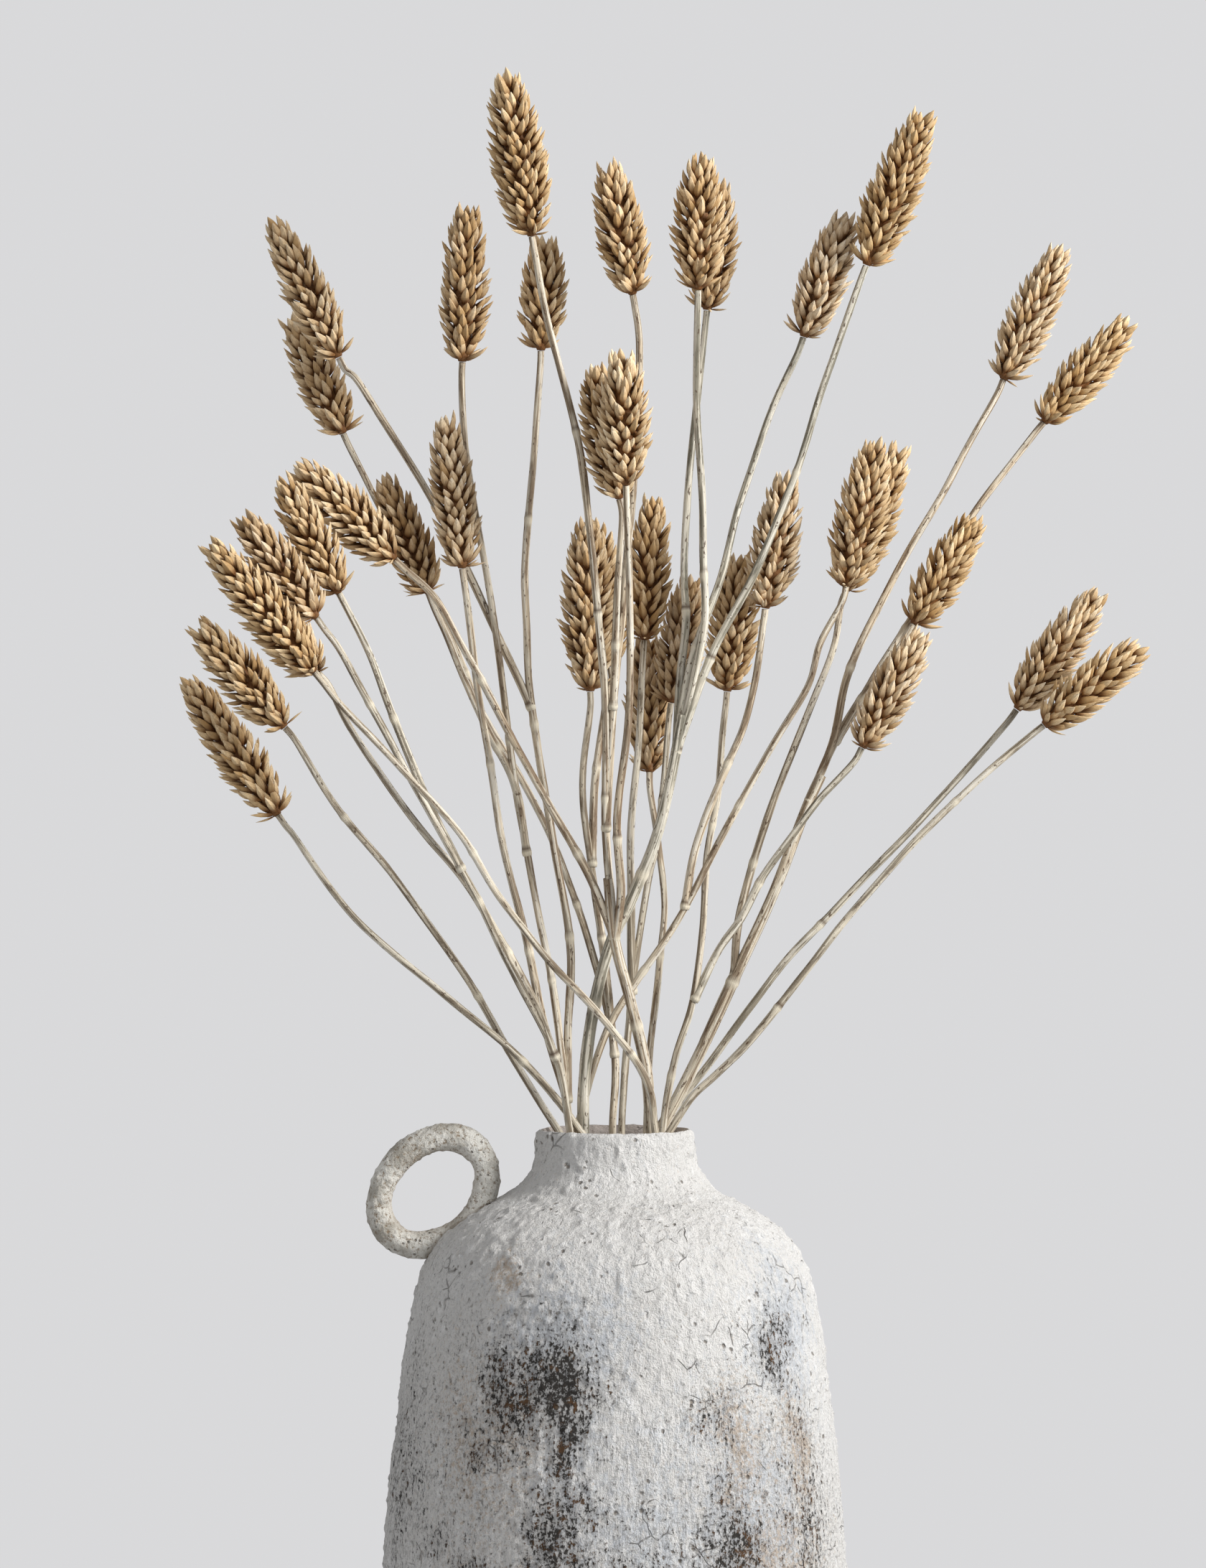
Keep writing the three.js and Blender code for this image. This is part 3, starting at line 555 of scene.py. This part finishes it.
def smooth_curve(points, spacing):
    """Points about `spacing` apart on a centripetal Catmull-Rom curve through the given ones."""
    ends = [points[0] * 2 - points[1], *points, points[-1] * 2 - points[-2]]
    curve = []
    for a, b, c, d in zip(ends, ends[1:], ends[2:], ends[3:]):
        ab, bc, cd = (math.sqrt(max((q - p).length, 1e-9)) for p, q in ((a, b), (b, c), (c, d)))
        leaving = ((b - a) / ab - (c - a) / (ab + bc) + (c - b) / bc) * bc
        arriving = ((c - b) / bc - (d - b) / (bc + cd) + (d - c) / cd) * bc
        steps = max(2, math.ceil((c - b).length / spacing))
        for i in range(steps):
            t = i / steps
            curve.append(
                b * (2 * t**3 - 3 * t**2 + 1) + leaving * (t**3 - 2 * t**2 + t)
                + c * (3 * t**2 - 2 * t**3) + arriving * (t**3 - t**2)
            )
    curve.append(points[-1].copy())
    return curve


def drift(point):
    """A smooth random vector for a point, the same in every run."""
    shifts = (Vector((0.0, 0.0, 0.0)), Vector((31.7, 0.0, 0.0)), Vector((0.0, 47.3, 0.0)))
    return Vector([noise.noise(point + shift) for shift in shifts])


def side_of(direction):
    """A unit vector square to the given one."""
    other = Vector((0, 1, 0)) if abs(direction.y) < 0.9 else Vector((1, 0, 0))
    return direction.cross(other).normalized()


# --- Vase ---

def outer_profile():
    """The vase's outside from the foot to the lip, as finely spaced (radius, height) pairs."""
    knots = [Vector((radius, RIM - depth)) for radius, depth in OUTER_PROFILE]
    return smooth_curve(knots, PROFILE_SPACING)


def between(start, end, spacing):
    """Evenly spaced points from start up to, but not including, end."""
    steps = max(2, math.ceil((end - start).length / spacing))
    return [start.lerp(end, i / steps) for i in range(steps)]


def vase_profile():
    """The closed section from the base round to the floor, and whether each point is inside: 0 or 1."""
    outside = outer_profile()
    inside = []
    for before, point, after in zip(outside, outside[1:], outside[2:]):
        along = (after - before).normalized()
        wall = Vector((point.x - WALL * along.y, point.y + WALL * along.x))
        if wall.y > FLOOR + WALL:
            inside.append(wall)
    inside.reverse()
    foot = between(Vector((0.001, 0)), Vector((BASE_RADIUS, 0)), 0.004)
    heel = between(Vector((BASE_RADIUS, 0)), outside[0], PROFILE_SPACING)
    lip_out = Vector((outside[-1].x - LIP_ROUNDING, RIM))
    lip_in = Vector((inside[0].x + LIP_ROUNDING, RIM))
    lip = between(outside[-1], lip_out, 0.0006) + between(lip_out, lip_in, 0.0006)
    bore = between(lip_in, inside[0], 0.0006) + inside[::3]
    floor = between(inside[-1], Vector((inside[-1].x - WALL, FLOOR)), 0.002)
    floor += between(Vector((inside[-1].x - WALL, FLOOR)), Vector((0.001, FLOOR)), 0.004)
    outer_part = foot + heel + outside[:-1] + lip
    inner_part = bore + floor
    return outer_part + inner_part, [0.0] * len(outer_part) + [1.0] * len(inner_part)


def coat_height(point, height):
    """How far the rough coat stands out at a point of the vase's outside."""
    high = min(max((height - 0.170) / 0.06, 0.0), 1.0)
    swell = noise.fractal(point * 28, 1.0, 2.0, 2) * 0.0007
    runs = Vector((point.x * 150, point.y * 150, point.z * 20))
    ridges = max(noise.ridged_multi_fractal(runs, 0.9, 2.1, 3, 1.0, 1.8) - 1.0, -0.4)
    smear = Vector((point.x * 75 + point.z * 70, point.y * 75, point.z * 150 - point.x * 60))
    smears = max(noise.ridged_multi_fractal(smear, 0.7, 2.3, 4, 1.0, 2.0) - 1.0, -0.4)
    thick = 0.5 + 0.5 * noise.noise(point * 26 + Vector((7, 3, 1)))
    lumps = max(noise.noise(point * 230) - 0.20, 0.0) * 0.0020
    grit = noise.fractal(point * 450, 0.8, 2.0, 2) * 0.00026
    coat = ridges * (1 - high) * 0.00060 + smears * (0.25 + 0.75 * high) * 0.00110 * thick
    return swell + coat + lumps + grit


def patch_strengths(points):
    """How strong each kind of patch is at each point, from PATCHES."""
    spots = [Vector(point) * 26 for point in points]
    ragged = np.array([drift(spot) + drift(spot * 2.3) * 0.6 for spot in spots])
    angles = np.degrees(np.arctan2(points[:, 0], -points[:, 1])) + 8 * ragged[:, 0]
    heights = points[:, 2] + 0.010 * ragged[:, 1]
    strengths = {kind: np.zeros(len(points)) for kind in PATCHES}
    for kind, patches in PATCHES.items():
        for angle, height, wide, tall, strength in patches:
            turned = (angles - angle + 180) % 360 - 180
            distance = (turned / wide) ** 2 + ((heights - height) / tall) ** 2
            strengths[kind] = np.maximum(strengths[kind], strength * np.exp(-0.55 * distance))
    return strengths


def build_vase(material):
    profile, inside = vase_profile()
    turns = [2 * math.pi * i / VASE_SIDES for i in range(VASE_SIDES)]
    rows = len(profile)
    vertices = np.empty((rows * VASE_SIDES, 3))
    index = 0
    for row, point in enumerate(profile):
        before = profile[max(row - 1, 0)]
        after = profile[min(row + 1, rows - 1)]
        along = (after - before).normalized()
        on_base = point.y < 0.0005
        near_lip = min(max((point.y - (RIM - 0.004)) / 0.004, 0.0), 1.0)
        scale = 0.0 if on_base else 1 - 0.65 * near_lip
        for turn in turns:
            place = Vector((point.x * math.cos(turn), point.x * math.sin(turn), point.y))
            if inside[row]:
                out = noise.fractal(place * 60, 1.0, 2.0, 3) * 0.0003
            else:
                out = coat_height(place, point.y) * scale
            out = min(max(out, COAT_LOWEST), COAT_HIGHEST)
            uneven = noise.noise(Vector((math.cos(turn) * 2.2, math.sin(turn) * 2.2, 3.0))) * 0.0005
            vertices[index] = (
                place.x + out * along.y * math.cos(turn),
                place.y + out * along.y * math.sin(turn),
                max(place.z - out * along.x + uneven * near_lip, 0.0),
            )
            index += 1
    faces = grid_faces(rows, VASE_SIDES)
    faces.append(tuple(range(VASE_SIDES - 1, -1, -1)))
    faces.append(tuple(range((rows - 1) * VASE_SIDES, rows * VASE_SIDES)))
    attributes = patch_strengths(vertices)
    attributes["inside"] = np.repeat(inside, VASE_SIDES)
    piece = make_piece("vase_body_coated", vertices, faces, material, attributes)
    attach(piece, "vase")
    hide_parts("vase_body")


def build_ring(material):
    """An oval clay ring whose back is pressed flat against the shoulder."""
    radii = [(point.y, point.x) for point in outer_profile()]
    heights = np.array([height for height, _ in radii])
    widths = np.array([width for _, width in radii])
    vertices = []
    painted_shade = []
    for step in range(RING_STEPS):
        turn = 2 * math.pi * step / RING_STEPS
        flat = Vector((RING_LONG_RADIUS * math.cos(turn), 0, RING_SHORT_RADIUS * math.sin(turn)))
        normal = Vector((RING_SHORT_RADIUS * math.cos(turn), 0, RING_LONG_RADIUS * math.sin(turn)))
        normal.normalize()
        thick = RING_THICKNESS / 2 * (1 + 0.05 * math.sin(2 * turn + 0.6) + 0.03 * math.sin(5 * turn))
        for side in range(RING_SIDES):
            around = 2 * math.pi * side / RING_SIDES
            out = normal * math.cos(around) + Vector((0, 1, 0)) * math.sin(around)
            spot = flat + out * thick
            rough = noise.fractal(spot * 170, 0.9, 2.1, 4) * 0.00024
            rough += max(noise.noise(spot * 420) - 0.15, 0.0) * 0.0008
            spot += out * rough
            tilted = Vector((
                spot.x * math.cos(RING_TILT) - spot.z * math.sin(RING_TILT),
                spot.y,
                spot.x * math.sin(RING_TILT) + spot.z * math.cos(RING_TILT),
            ))
            place = RING_CENTRE + tilted
            wall = float(np.interp(place.z, heights, widths)) - 0.0008
            reach = math.hypot(place.x, place.y)
            if reach < wall:
                place.x *= wall / reach
                place.y *= wall / reach
            vertices.append(place[:])
            # Painted shade: darker within 4 mm of the body's wall and on the ring's inner side.
            near_wall = min(max(1 - (reach - wall) / 0.004, 0.0), 1.0)
            painted_shade.append(max(near_wall, 0.5 * max(-math.cos(around), 0.0) ** 3))
    faces = grid_faces(RING_STEPS, RING_SIDES)
    last = (RING_STEPS - 1) * RING_SIDES
    for side in range(RING_SIDES):
        after = (side + 1) % RING_SIDES
        faces.append((last + side, last + after, after, side))
    piece = make_piece("ring_handle_coated", np.array(vertices), faces, material, {"painted_shade": painted_shade})
    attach(piece, "vase")
    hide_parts("ring_handle")


# --- Sprays ---

def at_depth(point, y):
    """A point of the front elevation, set at its own depth along the line of sight."""
    drawn = Vector((point[0], 0, RIM + point[1]))
    return EYE.lerp(drawn, (y - EYE.y) / -EYE.y)


def strand_path(spray, strand):
    """A strand's points in space, with its seed head's base, tip and direction."""
    at_fork, at_head = strand.get("back", (0, 0))
    points = []
    last = len(strand["points"]) - 1
    for i, point in enumerate(strand["points"]):
        y = spray["mouth"][1] + spray["lean"] * point[1] + at_fork + (at_head - at_fork) * i / last
        points.append(at_depth(point, y))
    base = points.pop()
    tip = at_depth(strand["tip"], spray["mouth"][1] + spray["lean"] * strand["tip"][1] + at_head)
    axis = (tip - base).normalized()
    points += [base - axis * NECK_OF_HEAD, base]
    return points, base, tip, axis


def standing(spray):
    """A spray's foot, its crossing of the mouth, and the point up to which it is straight."""
    mouth = Vector((*spray["mouth"], RIM))
    foot_x, foot_rise = spray["foot"]
    foot = Vector((foot_x, mouth.y + spray["lean"] * foot_rise, RIM + foot_rise))
    return foot, mouth, mouth + (foot - mouth).normalized() * STRAIGHT_BELOW_MOUTH


def stalk_tube(path, start_radius, end_radius, tone, draw, node_at=()):
    """The arrays of one stalk: a thin ridged tube with raised nodes. draw gives its random numbers."""
    lengths = [0.0]
    for before, after in zip(path, path[1:]):
        lengths.append(lengths[-1] + (after - before).length)
    total = lengths[-1]
    nodes = list(node_at)
    place = draw.uniform(0.4, 0.9) * NODE_SPACING
    while place < total - 0.04:
        if all(abs(place - other) > 0.03 for other in nodes):
            nodes.append(place)
        place += draw.uniform(0.75, 1.2) * NODE_SPACING
    phase = draw.uniform(0, 100)
    across = side_of((path[1] - path[0]).normalized())
    rows = {"vertices": [], "grain": [], "tone": [], "band": [], "scar": []}
    for i, point in enumerate(path):
        along = (path[min(i + 1, len(path) - 1)] - path[max(i - 1, 0)]).normalized()
        across = (across - along * across.dot(along)).normalized()
        other = along.cross(across)
        share = lengths[i] / total
        radius = start_radius + (end_radius - start_radius) * share
        raised = band = scar = 0.0
        for node in nodes:
            offset = lengths[i] - node
            raised += math.exp(-(offset / 0.0016) ** 2)
            band += math.exp(-((offset + 0.0008) / 0.0022) ** 2)
            scar += math.exp(-((offset - 0.0016) / 0.0007) ** 2)
            if -0.03 < offset < 0:
                radius *= 1.05
        radius *= 1 + 0.20 * min(raised, 1.0) + 0.06 * noise.noise(Vector((phase, lengths[i] * 60, 0)))
        for side in range(STALK_SIDES):
            turn = 2 * math.pi * side / STALK_SIDES
            spot = Vector((math.cos(turn) * 2, math.sin(turn) * 2, phase + lengths[i] * 9))
            ridge = 1 + 0.05 * noise.noise(spot)
            out = (across * math.cos(turn) + other * math.sin(turn)) * radius * ridge
            rows["vertices"].append((point + out)[:])
            rows["grain"].append((
                math.cos(turn) * start_radius, math.sin(turn) * start_radius, phase + lengths[i],
            ))
        rows["tone"] += [tone] * STALK_SIDES
        rows["band"] += [min(band, 1.0)] * STALK_SIDES
        broken = 0.5 + 0.5 * math.sin(phase * 7 + lengths[i] * 300)
        rows["scar"] += [min(scar, 1.0) * broken] * STALK_SIDES
    return rows


def wandering(path, draw):
    """The path with slight bends of its own, which die out at both of its ends."""
    phase = draw.uniform(0, 100)
    bent = []
    for i, point in enumerate(path):
        share = i / (len(path) - 1)
        hold = math.sin(math.pi * share) ** 0.5
        sway = drift(Vector((phase, i * STALK_SPACING * 26, 0.5)))
        bent.append(point + sway * 0.0009 * hold)
    return bent


def build_stalk(spray, material):
    """The whole branching stalk of a spray."""
    draw = random.Random(spray["name"])
    tone = 0.5 + 0.5 * spray.get("brown", draw.uniform(-0.5, 0.5))
    foot, mouth, below = standing(spray)
    tubes = []
    culm = spray.get("culm")
    if culm:
        rise = [at_depth(point, spray["mouth"][1] + spray["lean"] * point[1]) for point in culm]
        path = smooth_curve([below, mouth, *rise], STALK_SPACING)
        path = between(foot, below, 0.004) + path
        length = sum((q - p).length for p, q in zip(path, path[1:]))
        inside = (foot - mouth).length
        nodes = [inside + (length - inside) * share for share in spray.get("culm_nodes", [0.42])]
        tubes.append(stalk_tube(path, CULM_RADIUS, CULM_RADIUS * 0.72, tone, draw, nodes))
    for number, strand in enumerate(spray["strands"]):
        points = strand_path(spray, strand)[0]
        own_tone = min(max(tone + draw.uniform(-0.2, 0.2), 0), 1)
        if number == 0 and not culm:
            path = smooth_curve([below, mouth, *points], STALK_SPACING)
            path = between(foot, below, 0.004) + wandering(path, draw)
        else:
            path = wandering(smooth_curve(points, STALK_SPACING), draw)
        fork_node = [0.002] if number or culm else []
        tubes.append(stalk_tube(path, STALK_RADIUS * 1.08, STALK_RADIUS * 0.86, own_tone, draw, fork_node))
    vertices = []
    faces = []
    attributes = {"grain": [], "tone": [], "band": [], "scar": []}
    for tube in tubes:
        first = len(vertices)
        count = len(tube["vertices"])
        vertices += tube["vertices"]
        faces += grid_faces(count // STALK_SIDES, STALK_SIDES, first)
        faces.append(tuple(first + side for side in reversed(range(STALK_SIDES))))
        faces.append(tuple(first + count - STALK_SIDES + side for side in range(STALK_SIDES)))
        for key in attributes:
            attributes[key] += tube[key]
    node = f"{spray['name']}_stalk"
    piece = make_piece(f"{node}_dried", np.array(vertices), faces, material, attributes)
    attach(piece, spray["name"])
    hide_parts(node)


def glume_shape():
    """One plump, keeled, pointed scale: (across, outwards, along) in shares of its width and length."""
    sections = [
        (0.0, 0.36), (0.14, 0.70), (0.34, 1.0), (0.54, 0.95), (0.73, 0.70), (0.88, 0.36), (0.96, 0.14),
    ]
    ring = [
        (-0.5, 0.0), (-0.35, 0.17), (-0.10, 0.36), (0.0, 0.45), (0.10, 0.36), (0.35, 0.17), (0.5, 0.0),
        (0.0, -0.16),
    ]
    points = []
    for along, wide in sections:
        bow = 0.10 * (1 - (2 * along - 0.9) ** 2)
        points += [(x * wide, y * wide + bow, along) for x, y in ring]
    points.append((0.0, -0.02, 1.0))
    faces = grid_faces(len(sections), len(ring))
    top = (len(sections) - 1) * len(ring)
    for side in range(len(ring)):
        faces.append((top + side, top + (side + 1) % len(ring), len(points) - 1))
    faces.append(tuple(reversed(range(len(ring)))))
    return np.array(points), faces


GLUME_POINTS, GLUME_FACES = glume_shape()


class Head:
    """Collects the glumes, bracts and core of one seed head."""

    def __init__(self, start, axis):
        self.start = np.array(start)
        self.axis = np.array(axis)
        self.across = np.array(side_of(axis))
        self.other = np.cross(self.axis, self.across)
        self.vertices = []
        self.faces = []
        self.attributes = {"along": [], "tone": [], "grain": []}
        self.count = 0

    def add(self, points, faces, along, tone, grain):
        self.vertices.append(points)
        self.faces += [tuple(self.count + i for i in face) for face in faces]
        self.attributes["along"].append(along)
        self.attributes["tone"].append(np.full(len(points), tone))
        self.attributes["grain"].append(grain)
        self.count += len(points)

    def glume(self, turn, height, radius, angle, length, width, tone, curl, skew, seed):
        """A glume whose foot is at a turn, height and radius, and that leans out at the given angle."""
        out = self.across * math.cos(turn) + self.other * math.sin(turn)
        sideways = np.cross(self.axis, out)
        direction = self.axis * math.cos(angle) + out * math.sin(angle) + sideways * skew
        direction /= np.linalg.norm(direction)
        outward = np.cross(direction, sideways)
        outward /= -np.linalg.norm(outward)
        if np.dot(outward, out) < 0 and angle < math.pi / 2:
            outward = -outward
        sideways = np.cross(outward, direction)
        x, y, z = GLUME_POINTS.T
        bend = curl * length * z**2
        points = (
            self.start + self.axis * height + out * radius + np.outer(x * width, sideways)
            + np.outer(y * width + bend, outward) + np.outer(z * length, direction)
        )
        grain = np.stack([x * width, y * width, seed + z * length], axis=1)
        self.add(points, GLUME_FACES, z, tone, grain)

    def core(self, outline, tone):
        """The spindle in the middle that the glumes grow from."""
        sides = 12
        rings = []
        for radius, height in outline:
            turns = np.arange(sides) * 2 * math.pi / sides
            rings.append(
                self.start + self.axis * height
                + radius * (np.outer(np.cos(turns), self.across) + np.outer(np.sin(turns), self.other))
            )
        points = np.concatenate(rings)
        faces = grid_faces(len(outline), sides)
        faces.append(tuple(reversed(range(sides))))
        faces.append(tuple(len(points) - sides + side for side in range(sides)))
        # With along at 0 the core takes the glumes' dark foot colour, partly painted shade for the gaps
        # between them.
        self.add(points, faces, np.zeros(len(points)), tone, points)


def build_head(spray, strand, number, material):
    """A seed head: glumes in a close spiral on a spindle, with splayed bracts and a collar at its foot."""
    node = f"{spray['name']}_head_{number}"
    draw = random.Random(node)
    _, base, tip, axis = strand_path(spray, strand)
    start = base + axis * GAP
    length = (tip - start).length
    full = strand.get("full", draw.uniform(0.94, 1.06))
    shares = np.array([share for _, share in HEAD_OUTLINE])
    widths = np.array([width for width, _ in HEAD_OUTLINE]) * full
    head = Head(start, axis)
    paler, golden = strand.get("tone", (draw.uniform(-0.06, 0.06), draw.uniform(0.35, 0.75)))

    outline = [(0.0017, 0.0), (0.0023, 0.0012), (0.0029, 0.0030), (0.0027, 0.0042)]
    for i in range(1, 12):
        share = 0.07 + 0.86 * i / 12
        outline.append((max(np.interp(share, shares, widths) * 0.52, 0.0008), share * length))
    head.core(outline, 0.15)

    fine = np.linspace(0.075, 1 - LAST_GLUME_BELOW_TIP / length, 200)
    density = np.interp(fine, shares, widths) + 0.0022
    filled = np.cumsum(density)
    filled /= filled[-1]
    count = int(length * GLUMES_PER_METRE * full)
    twist = draw.uniform(0, 2 * math.pi)
    for i in range(count):
        share = float(np.interp((i + 0.5) / count, filled, fine))
        size = draw.uniform(0.84, 1.10) * (1.0 if share < 0.75 else 0.88)
        glume_length = GLUME_LENGTH * size
        radius = max(np.interp(share, shares, widths) * 0.48, 0.0007)
        tip_share = min(share + 0.80 * glume_length / length, 1.0)
        reach = max(np.interp(tip_share, shares, widths), 0.0024)
        reach += 0.0020 * full * min((share - 0.05) / 0.2, 1.0)
        lean = math.asin(min(max((reach - radius) / glume_length, 0.12), 0.74))
        head.glume(
            twist + i * math.pi * (3 - math.sqrt(5)) + draw.uniform(-0.14, 0.14),
            share * length, radius, lean + draw.uniform(-0.16, 0.18), glume_length,
            GLUME_WIDTH * draw.uniform(0.86, 1.08), min(max(draw.gauss(0.5, 0.30) + paler, 0), 1),
            curl=draw.uniform(-0.05, 0.06), skew=draw.uniform(-0.18, 0.18), seed=i * 0.05,
        )
    for count, jitter, height, radius, leans, lengths, width, tones, curls, skew in FOOT_RINGS:
        for i in range(count):
            head.glume(
                twist + i * 2 * math.pi / count + draw.uniform(-jitter, jitter), height, radius,
                draw.uniform(*leans), draw.uniform(*lengths), width, draw.uniform(*tones),
                curl=draw.uniform(*curls), skew=draw.uniform(-skew, skew), seed=i,
            )
    for i in range(draw.choice((1, 2, 3))):
        head.glume(
            draw.uniform(0, 2 * math.pi), 0.0006, 0.0016, draw.uniform(1.1, 1.5),
            draw.uniform(0.0060, 0.0100), 0.0016, draw.uniform(0.4, 1.0),
            curl=draw.uniform(-0.35, 0.30), skew=draw.uniform(-0.4, 0.4), seed=i,
        )
    attributes = {key: np.concatenate(values) for key, values in head.attributes.items()}
    attributes["golden"] = np.full(head.count, golden)
    piece = make_piece(f"{node}_glumes", np.concatenate(head.vertices), head.faces, material, attributes)
    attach(piece, spray["name"])
    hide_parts(node)


# --- Stage, camera and lights ---

def floor_material():
    """Plain pale floor that fades into the background before its edge."""
    g = Graph("floor")
    place = g.place()
    far = g.node("VectorMath", {0: place}, operation="LENGTH").outputs["Value"]
    colour = g.mix(g.noise(place, 3.0, 2.0), (0.44, 0.44, 0.443), (0.46, 0.46, 0.463))
    g.put(g.shader.inputs["Emission Color"], (0.66, 0.66, 0.67, 1.0))
    g.put(g.shader.inputs["Emission Strength"], 0.23)
    g.put(g.shader.inputs["Alpha"], g.step(far, 0.34, 0.68, 1.0, 0.0))
    return g.finish(colour, 0.9, 0.1)


def build_floor():
    steps = 64
    turns = np.arange(steps) * 2 * math.pi / steps
    below = np.full(steps, -0.0004)
    rings = [np.stack([r * np.cos(turns), r * np.sin(turns), below], 1) for r in (0.02, 0.35, 0.70)]
    faces = grid_faces(len(rings), steps)
    faces.append(tuple(reversed(range(steps))))
    floor = make_piece("floor", np.concatenate(rings), faces, floor_material(), {})


def build_world():
    """Pale grey surroundings: brighter to the eye than the light they give, as a papered wall is."""
    world = bpy.data.worlds.new("surroundings")
    bpy.context.scene.world = world
    world.use_nodes = True
    tree = world.node_tree
    background = tree.nodes["Background"]
    seen = tree.nodes.new("ShaderNodeLightPath").outputs["Is Camera Ray"]
    strength = tree.nodes.new("ShaderNodeMapRange")
    tree.links.new(seen, strength.inputs["Value"])
    strength.inputs["To Min"].default_value = 0.64
    strength.inputs["To Max"].default_value = 1.06
    tree.links.new(strength.outputs["Result"], background.inputs["Strength"])
    background.inputs["Color"].default_value = (0.655, 0.655, 0.665, 1.0)


def build_light(name, place, target, size, power, colour):
    light = bpy.data.lights.new(name, "AREA")
    light.shape = "DISK"
    light.size = size
    light.energy = power
    light.color = colour
    lamp = bpy.data.objects.new(name, light)
    lamp.location = place
    lamp.rotation_euler = (Vector(target) - Vector(place)).to_track_quat("-Z", "Y").to_euler()
    bpy.context.scene.collection.objects.link(lamp)


def build_camera():
    camera = bpy.data.cameras.new("camera")
    camera.sensor_fit = "VERTICAL"
    camera.sensor_height = 36
    camera.lens = 126.2
    camera.clip_start = 0.05
    eye = bpy.data.objects.new("camera", camera)
    eye.location = (-0.0053, EYE.y, EYE.z)
    eye.rotation_euler = (math.radians(90), 0, 0)
    bpy.context.scene.collection.objects.link(eye)
    bpy.context.scene.camera = eye


build_camera()
build_world()
build_light("key", (1.62, -0.90, 1.18), (0, 0, 0.36), 0.7, 51, (1.0, 0.99, 0.975))
build_light("fill", (-1.5, -1.6, 0.9), (0, 0, 0.35), 1.4, 3, (0.95, 0.975, 1.0))
build_light("back", (0.9, 1.9, 1.20), (0, 0, 0.35), 1.4, 13, (1.0, 0.995, 0.985))
bpy.context.scene.view_settings.view_transform = "Standard"
build_floor()

build_vase(plaster_material())
build_ring(ring_material())
stalks = stalk_material()
glumes = glume_material()
for spray in SPRAYS:
    build_stalk(spray, stalks)
    for number, strand in enumerate(spray["strands"], 1):
        build_head(spray, strand, number, glumes)
